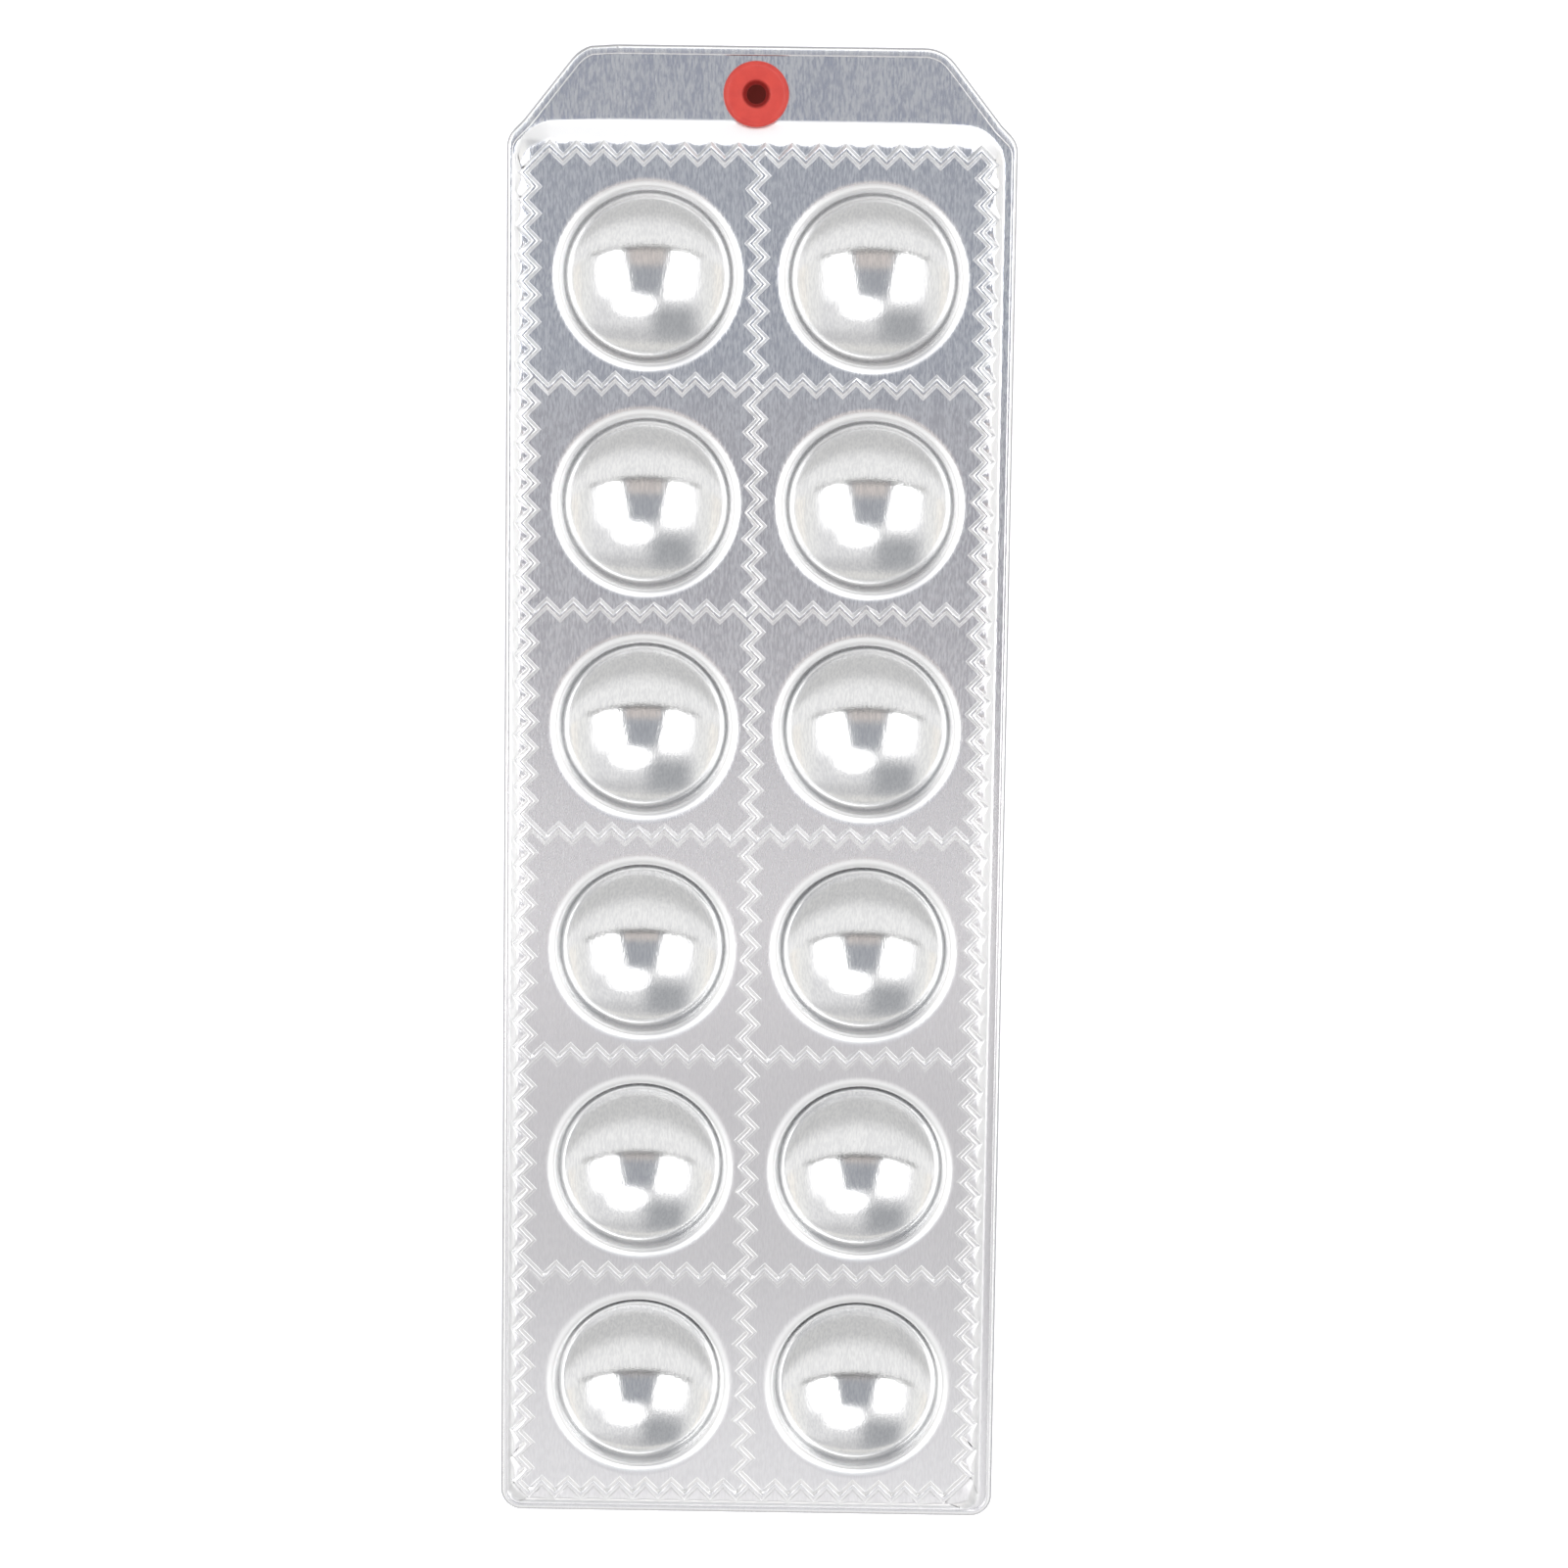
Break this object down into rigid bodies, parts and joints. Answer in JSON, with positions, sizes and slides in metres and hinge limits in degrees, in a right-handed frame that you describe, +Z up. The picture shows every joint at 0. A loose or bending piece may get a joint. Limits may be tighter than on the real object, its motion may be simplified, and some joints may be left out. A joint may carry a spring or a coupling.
{
  "type": "ravioli mould",
  "caption": "Ravioli mould pressed from one aluminium sheet: round bowls in square cells framed by raised zigzag ridges, folded hem, tab with a plastic hanging grommet.",
  "frame": {"origin": "middle of the outline, at the height of the lowest points of the bowls, on which the mould stands", "axes": "+Z up, out of the mouths of the bowls; +Y along the mould towards the hanging tab; +X across it, to the right when the tab is at the top"},
  "size_m": [0.1062, 0.3136, 0.0128],
  "materials": {
    "aluminium_sheet": "satin, finely brushed along its length",
    "red_plastic": "semi-gloss injection-moulded plastic"
  },
  "bodies": {
    "root": {"mould_plate": "aluminium_sheet", "hanging_grommet": "red_plastic"}
  },
  "joints": []
}
